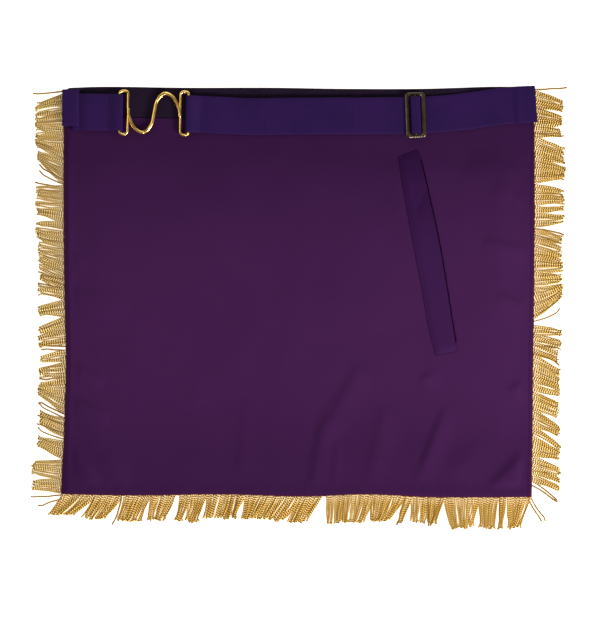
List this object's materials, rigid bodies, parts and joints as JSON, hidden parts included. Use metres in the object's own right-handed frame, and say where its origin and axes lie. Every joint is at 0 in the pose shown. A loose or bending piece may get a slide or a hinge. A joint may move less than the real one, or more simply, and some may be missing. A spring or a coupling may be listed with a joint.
{
  "type": "masonic apron",
  "caption": "Fringed cloth apron lying on its face, back side up: satin lining, dark top band, slanted pocket, belt with slider and clasp.",
  "frame": {"origin": "middle of the front panel's flat face, which lies on the surface below", "axes": "+X across the apron to the right as seen on its back side, +Y up towards the waist, +Z away from the surface"},
  "size_m": [0.4635, 0.3842, 0.0117],
  "materials": {
    "front_cloth": "matt purple cloth",
    "lining_satin": "purple satin with a soft sheen",
    "band_cloth": "matt near-black cloth",
    "belt_webbing": "ribbed violet webbing",
    "gold_cord": "twisted gold metallic thread",
    "bronze_metal": "dark polished bronze",
    "gold_metal": "polished gold plate"
  },
  "bodies": {
    "root": {"front_panel": "front_cloth", "lining_panel": "lining_satin", "top_band": "band_cloth", "pocket_welt": "lining_satin", "fringe_left": "gold_cord", "fringe_bottom": "gold_cord", "fringe_right": "gold_cord", "belt_tab": "belt_webbing", "belt_loop": "belt_webbing", "belt_strap": "belt_webbing", "belt_slider": "bronze_metal", "belt_clasp": "gold_metal"}
  },
  "joints": []
}
